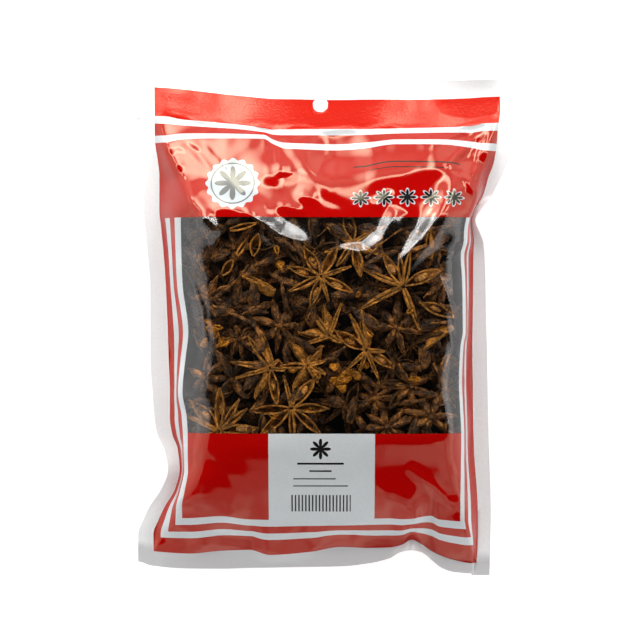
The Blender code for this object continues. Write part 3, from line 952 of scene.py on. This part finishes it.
class Piece:
    """Closed shapes gathered into one mesh. shade is painted shade: how far a whole shape is darkened, for
    pods that lie deep in the heap.
    """

    def __init__(self, name, material):
        self.name, self.material = name, material
        self.points, self.faces, self.tone, self.shade, self.skin, self.count = [], [], [], [], [], 0

    def add(self, shape, shade):
        size = len(shape.points)
        self.points.append(shape.points)
        self.faces += [[int(k) + self.count for k in face] for face in shape.faces]
        self.tone.append(np.broadcast_to(shape.tone, size))
        self.shade.append(np.full(size, shade))
        self.skin.append(shape.skin)
        self.count += size

    def build(self, clip):
        points = clip(np.concatenate(self.points)) * MM
        obj = mesh_object(self.name, points, self.faces, [self.material])
        for name, kind, key, values in (
            ("tone", "FLOAT", "value", self.tone),
            ("shade", "FLOAT", "value", self.shade),
            ("skin", "FLOAT_VECTOR", "vector", self.skin),
        ):
            layer = obj.data.attributes.new(name, kind, "POINT")
            layer.data.foreach_set(key, np.concatenate(values).ravel().astype(np.float32))
        return obj


def tube_faces(rings, around):
    """Quads of a closed tube of rings, and its two end faces."""
    faces = []
    for k in range(rings - 1):
        for n in range(around):
            a, b = k * around + n, k * around + (n + 1) % around
            faces.append((a, a + around, b + around, b))
    faces.append(tuple(range(around)))
    faces.append(tuple(reversed(range((rings - 1) * around, rings * around))))
    return faces


def carpel_grid(stations, outer, inner):
    """Places along a carpel, places across its back and its hollow from lip to lip, and its faces."""
    t = np.linspace(0, 1, stations)
    along = 0.04 + 0.96 * (t - 0.07 * np.sin(2 * math.pi * t))
    faces = tube_faces(stations, outer + inner)
    return along[:, None], np.linspace(1, -1, outer), np.linspace(-1, 1, inner), faces


GRIDS = {detail: carpel_grid(*detail) for detail in (FINE, COARSE)}


def arch(u):
    """0 at both ends of a carpel, 1 half way."""
    return np.sin(math.pi * np.clip(u, 0, 1))


def creases(draw, u, across, size):
    """Sharp creases and ridges over a carpel's back."""
    total = 0
    for along_rate, across_rate in CREASES:
        phase, bend = draw.uniform(0, 6.3, 2)
        swing = 1.4 * np.sin(across_rate * across + bend + 2 * u)
        rate = along_rate * draw.uniform(0.85, 1.15)
        total = total + 0.64 - np.abs(np.sin(rate * u / 2 + phase + swing))
    return size * total


def strip(along, s, z):
    """Points by their places along a carpel, across it and up."""
    return np.stack([np.broadcast_to(along, s.shape), s, z], axis=2).reshape(-1, 3)


def carpel(draw, length, kind, crumple, detail):
    """One boat-shaped carpel from its hub end at 0 out along x, its lips up.

    u runs along it, v over its back and w over its hollow, both from 0 at the lips to 1 at the keel.
    """
    kind = CARPELS[kind]
    gape = kind.gape * draw.uniform(0.8, 1.2)
    width = kind.width * draw.uniform(0.92, 1.1)
    u, back, hollow, faces = GRIDS[detail]
    lip_end = draw.uniform(0.9, 0.99)
    lips = gape / 2 * arch((u - LIP_START) / (lip_end - LIP_START)) ** 0.9 + 0.05
    wall = LIP * (1 - 0.45 * u)
    bulge = np.maximum(width / 2 - gape / 2 - LIP, 0.35) * arch(u**0.8 / 0.95) ** 1.1 + 0.12
    keel = kind.depth * (0.72 + 0.28 * arch(u)) * (1 - u**2.6) + 0.35
    wobble = 0.06 * np.sin(draw.uniform(5, 9) * u + draw.uniform(0, 6)) * arch(u)
    shift = 0.14 * np.sin(draw.uniform(7, 13) * u + draw.uniform(0, 6)) * arch(u)

    v = (1 - np.abs(back)) ** 1.3
    rough = creases(draw, u, back, crumple) * np.clip(v * 3, 0, 1) * arch(u) ** 0.6
    turn = math.pi * v / 2
    s_out = np.sign(back) * ((lips + wall) * np.cos(turn) + bulge * np.sin(2 * turn) + rough)
    z_out = -keel * (0.6 * np.sin(turn) ** kind.roundness + 0.4 * v**kind.roundness) - 0.7 * rough
    w = (1 - np.abs(hollow)) ** 1.3
    turn = math.pi * w / 2
    inner_bulge = np.maximum(bulge - 0.5 * wall, 0.05)
    s_in = np.sign(hollow) * (lips * np.cos(turn) + inner_bulge * np.sin(2 * turn))
    z_in = -0.12 * (w == 0) - np.maximum(keel - wall, 0.1) * np.sin(turn) ** 1.2
    s = np.concatenate([s_out, s_in], axis=1) + wobble
    z = np.concatenate([z_out, z_in], axis=1) + shift
    skin = strip(0.45 * u * length, s, z)

    roll = math.radians(kind.roll * draw.choice((-1, 1)) + draw.uniform(-14, 14))
    roll = roll * arch(0.9 * u + 0.08) ** 0.5
    pivot = -0.35 * kind.depth
    lift = z - pivot
    s, z = s * np.cos(roll) - lift * np.sin(roll), pivot + s * np.sin(roll) + lift * np.cos(roll)
    s = s + draw.uniform(-0.07, 0.07) * length * u**2
    z = z + draw.uniform(-0.4, 1.6) * u**3 + draw.uniform(-0.5, 0.8) * u

    golden = (0, 0.35 * kind.gold, kind.gold, min(1, 1.7 * kind.gold))
    # Lighter where the creases stand out: partly the skin's colour, partly painted highlight
    tone_out = np.interp(v, golden, (1, 0.8, 0.35, 0)) + np.clip(rough / 0.6, 0, 0.45)
    tone_out = tone_out + 0.4 * u**4 + 0.5 * (1 - u) ** 4
    # The hollow is lip-coloured at its rim, its own colour, and darker towards the keel as painted shade
    tone_in = np.interp(w, (0, 0.22, 0.58, 1), (0.95, 0.62, 0.5, 0.42)) + 0 * u
    tone = np.concatenate([tone_out, tone_in], axis=1).ravel()
    return Shape(strip(u * length, s, z), faces, tone, skin + draw.uniform(0, 300, 3))


def ball(around=10, rings=7):
    """A unit ball round the x axis: points and faces."""
    turn = np.arange(around) * 2 * math.pi / around
    lift = np.linspace(-1, 1, rings + 2)[1:-1] * math.pi / 2 * 0.98
    lift = np.concatenate(([-math.pi / 2 * 0.999], lift, [math.pi / 2 * 0.999]))[:, None]
    points = strip(np.sin(lift), np.cos(lift) * np.cos(turn), np.cos(lift) * np.sin(turn))
    return points, tube_faces(rings + 2, around)


BALL = ball()


def lump(size, place, tone, axes=(0, 1, 2)):
    """A rounded lump of this size: seeds, hubs and scars."""
    points, faces = BALL
    points = points[:, list(axes)] * size
    return Shape(points + place, faces, tone, points)


def laid(shape, scale, shift, angle):
    """A shape scaled, shifted back by a distance and turned round the z axis."""
    c, s = math.cos(angle), math.sin(angle)
    x, y, z = (shape.points * scale - shift).T
    return shape._replace(points=np.stack([x * c - y * s, x * s + y * c, z], axis=1))


def film_heights(film, side):
    """A film's height over the table at each millimetre, or that of the neighbour nearest the heap."""
    tree = BVHTree.FromObject(film, bpy.context.evaluated_depsgraph_get())
    z = np.full(RASTER_SHAPE, NO_FILM)
    for j, i in np.ndindex(RASTER_SHAPE):
        start = Vector(((RASTER_START[0] + i) * MM, (RASTER_START[1] + j) * MM, 0.2 * side))
        hit = tree.ray_cast(start, Vector((0, 0, -side)))[0]
        if hit:
            z[j, i] = hit.z / MM
    near = [np.roll(z, (dj, di), axis=(0, 1)) for dj in (-1, 0, 1) for di in (-1, 0, 1)]
    return (np.minimum if side > 0 else np.maximum).reduce(near)


def sample(raster, x, y):
    """A raster's height at places between its points."""
    i = np.clip(np.asarray(x) - RASTER_START[0], 0, RASTER_SHAPE[1] - 1.001)
    j = np.clip(np.asarray(y) - RASTER_START[1], 0, RASTER_SHAPE[0] - 1.001)
    i0, j0 = i.astype(int), j.astype(int)
    a, b = i - i0, j - j0
    near = (1 - a) * raster[j0, i0] + a * raster[j0, i0 + 1]
    far = (1 - a) * raster[j0 + 1, i0] + a * raster[j0 + 1, i0 + 1]
    return (1 - b) * near + b * far


# A place in the heap: how deep under the front film, or over the back film, and how it leans to it
Spot = namedtuple("Spot", "x y depth lean on_back", defaults=((0, 0), False))


class Heap:
    """What lies between two films: puts pods, seeds and stalks just under them."""

    def __init__(self, front, back, pieces):
        self.draw = np.random.default_rng(FILL_SEED)
        self.top, self.bottom = film_heights(front, 1), film_heights(back, -1)
        self.pieces = pieces

    def between(self, points):
        """Points kept between the films, a little clear of both."""
        x, y, z = points.T
        top = sample(self.top, x, y) - CLEARANCE
        bottom = sample(self.bottom, x, y) + CLEARANCE
        z = np.minimum(z, np.maximum(top, bottom))
        return np.stack([x, y, np.maximum(z, np.minimum(bottom, top))], axis=1)

    def seat(self, points, spot):
        """Points of a pod, put at its spot and tipped to lie along the film."""
        raster = self.bottom if spot.on_back else self.top
        x, y, step = spot.x, spot.y, SEAT_REACH
        dx = (sample(raster, x + step, y) - sample(raster, x - step, y)) / (2 * step) + spot.lean[0]
        dy = (sample(raster, x, y + step) - sample(raster, x, y - step)) / (2 * step) + spot.lean[1]
        up = np.array((-dx, -dy, 1)) / math.sqrt(1 + dx * dx + dy * dy)
        along = np.array((1, 0, dx)) / math.sqrt(1 + dx * dx)
        side = np.cross(up, along)
        if spot.on_back:
            up, side = -up, -side
        place = np.array((x, y, sample(raster, x, y))) - spot.depth * up
        return place + points[:, :1] * along + points[:, 1:2] * side + points[:, 2:] * up

    def put(self, piece, shape, spot, shade=1.0):
        """Adds a shape to a piece, unless the films are too close together there."""
        points = self.seat(shape.points, spot)
        top, bottom = (sample(raster, points[:, 0], points[:, 1]) for raster in (self.top, self.bottom))
        if (top - bottom).min() > LEAST_GAP:
            self.pieces[piece].add(shape._replace(points=points), shade)

    def lean(self, most):
        return tuple(self.draw.uniform(-most, most, 2))

    def seed(self, length, depth):
        size = np.array(SEED_SIZE) / 2 * self.draw.uniform(0.88, 1.12)
        return lump(size, (length * self.draw.uniform(0.46, 0.56), 0, -depth), 0.0)

    def star(self, piece, radius, spot, carpels, detail, face_down=False, shade=1.0):
        """A star of carpels round a hub, each as (direction in degrees, kind, share of the radius)."""
        crumple = CRUMPLED["face down" if face_down else "face up"]
        scale, shift = (BACK_UP, (0, 0, BACK_UP_DROP)) if face_down else (1, 0)
        for direction, kind, share in carpels:
            length = radius * share
            shapes = [(piece, carpel(self.draw, length, kind, crumple, detail))]
            if self.draw.uniform() < CARPELS[kind].seeded and not face_down:
                shapes.append(("seeds", self.seed(length, self.draw.uniform(*SEED_DEPTHS))))
            for name, shape in shapes:
                shape = laid(shape, scale, shift, math.radians(direction))
                self.put(name, shape, spot, shade)
        for size, place in (HUB, SCAR) if face_down else (HUB,):
            self.put(piece, lump(size, place, HUB_TONE, (1, 2, 0)), spot, shade)

    def drawn_carpels(self, count, turn):
        """Carpels of a star, drawn at random from all kinds."""
        kinds, shares = list(CARPELS), [kind.share for kind in CARPELS.values()]
        out = []
        for k in range(count):
            kind = self.draw.choice(kinds, p=shares)
            direction = turn + k * 360 / count + self.draw.uniform(-9, 9)
            out.append((direction, kind, self.draw.uniform(0.72, 1.08)))
        return out

    def free_places(self, taken, spacing):
        """Places in the filling's box, apart from those taken and from each other."""
        places = list(taken)
        for _ in range(FILL_TRIES):
            x, y = self.draw.uniform(FILL_BOX[:2], FILL_BOX[2:])
            if all((x - a) ** 2 + (y - b) ** 2 > spacing**2 for a, b in places):
                places.append((x, y))
        return places[len(taken):]

    def add_layer(self, taken, piece, spacing, depths, radii, lean, face_down, shade, on_back):
        """Stars drawn at random, apart from the places taken. A single depth isn't drawn."""
        draw = self.draw
        for x, y in self.free_places(taken, spacing):
            depth = draw.uniform(*depths) if len(depths) > 1 else depths[0]
            carpels = self.drawn_carpels(draw.integers(*CARPEL_COUNTS), draw.uniform(0, 360))
            radius = draw.uniform(*radii)
            spot = Spot(x, y, depth, self.lean(lean), on_back)
            self.star(piece, radius, spot, carpels, COARSE, draw.uniform() < face_down, shade)

    def add_single(self, x0, y0, x1, y1, kind, depth):
        """One carpel from its hub end to its tip, an open one with its back up if it is a back."""
        length, direction = math.hypot(x1 - x0, y1 - y0), math.atan2(y1 - y0, x1 - x0)
        spot = Spot((x0 + x1) / 2, (y0 + y1) / 2, depth)
        if kind == "back":
            pod = carpel(self.draw, length, "open", CRUMPLED["single back"], FINE)
            pod = laid(pod, BACK_UP, (length / 2, 0, BACK_UP_DROP), direction)
            self.put("pods_face_down", pod, spot)
            return
        middle = (length / 2, 0, 0)
        pod = carpel(self.draw, length, kind, CRUMPLED["face up"], FINE)
        self.put("pods_face_up", laid(pod, 1, middle, direction), spot)
        if kind == "wide":
            seed = self.seed(length, SINGLE_SEED_DEPTH)
            self.put("seeds", laid(seed, 1, middle, direction), spot)

    def add_stalk(self, thickness, depth, points):
        """A bent stalk with a knob at one end, along points over the table."""
        points = np.array(points, float)
        steps = np.linalg.norm(np.diff(points, axis=0), axis=1)
        travelled = np.concatenate(([0], np.cumsum(steps)))
        at = np.linspace(0, travelled[-1], STALK_RINGS)
        x, y = (smooth_steps(travelled, points[:, [k]], at) for k in (0, 1))
        along = np.gradient(np.stack([x, y], axis=1), axis=0)
        along /= np.linalg.norm(along, axis=1)[:, None]
        z = sample(self.top, x, y) - depth - thickness / 2
        share = at / at[-1]
        knob = 1.5 * np.exp(-((1 - share) / 0.1) ** 2)
        radius = thickness / 2 * (0.8 + 0.25 * np.sin(9 * share + thickness) + knob)[:, None]
        turn = np.arange(STALK_SIDES) * 2 * math.pi / STALK_SIDES
        ring, lift = radius * np.cos(turn), radius * np.sin(turn)
        parts = (x[:, None] - along[:, 1:] * ring, y[:, None] + along[:, :1] * ring, z[:, None] + lift)
        points = strip(*parts)
        faces = tube_faces(STALK_RINGS, STALK_SIDES)
        self.pieces["stalks"].add(Shape(points, faces, STALK_TONE, points * (0.4, 0.4, 1)), 1.0)

    def add_flake(self, x, y, spread):
        """A flattened scrap of a carpel near a place."""
        draw = self.draw
        length = draw.uniform(*FLAKE_LENGTHS)
        flake = carpel(draw, length, draw.choice(FLAKE_KINDS), CRUMPLED["flake"], COARSE)
        flake = laid(flake, FLAKE_SHRINK, (length / 2, 0, 0), draw.uniform(0, 6.3))
        at = draw.normal((x, y), spread)
        self.put("flakes", flake, Spot(*at, draw.uniform(*FLAKE_DEPTHS), self.lean(LEANS["flake"])))

    def add_between(self, x, y):
        """A single carpel between the stars that show, back up."""
        draw = self.draw
        length, kind = draw.uniform(*BETWEEN_LENGTHS), draw.choice(list(CARPELS))
        pod = carpel(draw, length, kind, CRUMPLED["between"], COARSE)
        pod = laid(pod, BACK_UP, BETWEEN_MIDDLE, draw.uniform(0, 6.3))
        spot = Spot(x, y, draw.uniform(*BETWEEN_DEPTHS), self.lean(LEANS["between"]))
        self.put("pods_between", pod, spot, BETWEEN_SHADE)


def core_mesh(heap, material):
    """A dark mass in the middle of the heap, some way in from both films: painted shade for the filling's
    shadowed depths.
    """
    x0, y0, x1, y1 = CORE_BOX
    xs, ys = np.arange(x0, x1 + 0.1, CORE_STEP), np.arange(y0, y1 + 0.1, CORE_STEP)
    x, y = (a.ravel() for a in np.meshgrid(xs, ys))
    bumps = 1.6 * np.sin(x / 3.1 + 2 * np.sin(y / 7)) * np.sin(y / 2.9 + 2 * np.sin(x / 8))
    top = sample(heap.top, x, y) - CORE_DEPTHS[0] + bumps
    bottom = sample(heap.bottom, x, y) + CORE_DEPTHS[1] - bumps
    inside = top - bottom > 1
    top = np.where(inside, top, (top + bottom) / 2)
    points = np.concatenate([np.stack([x, y, z], axis=1) for z in (top, bottom)])
    upper = grid_faces(len(xs), len(ys))
    upper = upper[inside[upper].any(axis=1)]
    under = np.where(inside, len(x), 0) + np.arange(len(x))
    used, faces = np.unique(np.concatenate([upper, under[upper[:, ::-1]]]), return_inverse=True)
    return mesh_object("heap_core", points[used] * MM, faces.reshape(-1, 4).tolist(), [material])


def make_contents(front, back):
    """The heap in the pouch. The order in which it is made is the order of its random draws."""
    skins = {name: pod_material(name, *row) for name, row in SKINS.items()}
    heap = Heap(front, back, {name: Piece(name, skins[skin]) for name, skin in PIECES.items()})
    for x, y, radius, depth, carpels in FACING:
        heap.star("pods_face_up", radius, Spot(x, y, depth, heap.lean(LEANS["face up"])), carpels, FINE)
    for x, y, radius, depth, turn, count in TURNED:
        drawn = heap.drawn_carpels(count, turn)
        carpels = [(way, heap.draw.choice(TURNED_KINDS), share) for way, _, share in drawn]
        spot = Spot(x, y, depth, heap.lean(LEANS["face down"]))
        heap.star("pods_face_down", radius, spot, carpels, FINE, face_down=True)
    for row in LOOSE:
        heap.add_single(*row)
    for row in STALKS:
        heap.add_stalk(*row)
    for x, y, count, spread in FLAKES:
        for _ in range(count):
            heap.add_flake(x, y, spread)
    taken = [row[:2] for row in FACING + TURNED]
    for x, y in heap.free_places(taken, BETWEEN_SPACING):
        heap.add_between(x, y)
    heap.add_layer(taken, *BETWEEN_LAYER)
    for row in DEEP_LAYERS:
        heap.add_layer([], *row)
    made = [piece.build(heap.between) for piece in heap.pieces.values()]
    made.append(core_mesh(heap, skins["core_shade"]))
    for obj in made:
        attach(obj, "root")


def world_light():
    """A bright surround, dim to the south and dark overhead, with a bright rim in the north."""
    world = bpy.data.worlds.new("studio")
    bpy.context.scene.world = world
    tree = Tree(world)
    direction = tree.add("TexCoord", out="Generated")
    x, y, up = tree.split(direction)
    flat = (1.0001 - up * up).math("SQRT")
    east, north = x.math("DIVIDE", flat), y.math("DIVIDE", flat)
    west_end, east_end, north_end, south_end = (math.cos(math.radians(end)) for end in HOLE)
    edge = east.ramp(*SIDES_MEET, west_end, east_end)
    edge = edge.towards(north_end, north.ramp(*NORTH_BEGINS))
    beyond = edge.towards(south_end, north.ramp(*SOUTH_BEGINS)) - up
    patches = tree.add("TexNoise", {"Vector": direction, "Scale": PATCH_SCALE, "Detail": 1})
    patches = patches.ramp(*PATCH_RANGE, *SURROUND_PATCHES)
    low = up.ramp(*SURROUND_FALLS, *SURROUND_RISE) * patches
    surround = beyond.ramp(*SURROUND_BEGINS, UNDER_THE_DARK, 1) * low
    band = beyond.ramp(*RIM_BEGINS) * beyond.ramp(*RIM_ENDS, 1, 0)
    strength = surround + band * north.ramp(*RIM_NORTH, 0, RIM)
    for round_from_east, from_overhead, half_width, radiance in LAMPS:
        turn, lean, wide = (math.radians(a) for a in (round_from_east, from_overhead, half_width))
        lamp = (math.sin(lean) * math.cos(turn), math.sin(lean) * math.sin(turn), math.cos(lean))
        facing = tree.add("VectorMath", {0: direction, 1: lamp}, "Value", operation="DOT_PRODUCT")
        strength = strength + facing.ramp(math.cos(wide), math.cos(LAMP_CORE * wide), 0, radiance)
    tint = tree.mix(north.ramp(*TINT_CHANGES), SURROUND_SOUTH, SURROUND_NORTH)
    tree.feed(tree.nodes["Background"], {"Color": tint, "Strength": strength})


def area_light(name, place, target, size, radiance, mirrored):
    """A light that points at a target. One that is mirrored fades from its middle to its edges."""
    light = bpy.data.lights.new(name, "AREA")
    light.shape = "RECTANGLE"
    light.size, light.size_y = size
    light.energy = radiance * math.pi * size[0] * size[1]
    obj = new_object(name, light)
    obj.location = place
    obj.rotation_euler = (Vector(target) - Vector(place)).to_track_quat("-Z", "Y").to_euler()
    obj.visible_glossy = mirrored
    if mirrored:
        tree = Tree(light)
        across, along, _ = tree.split(tree.add("NewGeometry", out="Parametric"))
        fade = across * (1 - across) * (along * (1 - along)) * 16
        tree.feed(tree.nodes["Emission"], {"Strength": fade})


def make_floor():
    bpy.ops.mesh.primitive_plane_add(size=FLOOR_SIDE, location=(0, 0, -FLOOR_DROP))
    floor = bpy.context.object
    floor.name = "floor"
    material, tree, shader = new_material("floor_paper")
    tree.feed(shader, {"Base Color": FLOOR_GREY, "Roughness": 0.9, "Specular IOR Level": 0.0})
    tree.feed(shader, {"Emission Color": (1, 1, 1), "Emission Strength": FLOOR_GLOW})
    floor.data.materials.append(material)


def make_camera():
    camera = bpy.data.cameras.new("camera")
    camera.sensor_width = SENSOR
    camera.lens = SENSOR * (CAMERA_PLACE[2] - VIEW_HEIGHT) / VIEW_SIZE
    obj = new_object("camera", camera)
    obj.location = CAMERA_PLACE
    bpy.context.scene.camera = obj


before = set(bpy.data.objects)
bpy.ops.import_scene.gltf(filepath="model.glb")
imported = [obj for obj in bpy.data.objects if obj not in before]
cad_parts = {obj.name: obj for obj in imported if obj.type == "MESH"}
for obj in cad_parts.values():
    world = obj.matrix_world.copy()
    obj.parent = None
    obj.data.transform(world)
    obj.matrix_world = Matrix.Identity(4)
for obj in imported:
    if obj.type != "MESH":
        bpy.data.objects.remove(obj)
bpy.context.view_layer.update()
inks = [
    ink_material("margin_film", MARGIN_FILM, MARGIN_SURFACE, Print.foot_shade, glow=MARGIN_PAINTED_GLOW),
    ink_material("red_ink", RED_INK, PANEL_SURFACE, Print.panel_marks, RED_GLOSS_TINT),
    ink_material("white_ink", WHITE_INK, PANEL_SURFACE, Print.label_marks),
    clear_material(),
    ink_material("sealed_red_ink", SEALED_LIT_RED_INK, SEALED_SURFACE, tint=RED_GLOSS_TINT),
]
front = film_sheet("film_front", front_height, FRONT_STEP, inks, up=True)
back = film_sheet("film_back", back_height, BACK_STEP, inks, up=False)
for film in (front, back):
    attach(film, "root")
make_contents(front, back)
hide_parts("star_anise_pouch")
world_light()
for row in LIGHTS:
    area_light(*row, mirrored=False)
for row in SOFTBOXES:
    area_light(*row, mirrored=True)
make_floor()
make_camera()
view = bpy.context.scene.view_settings
view.view_transform = "Standard"
view.look = "None"
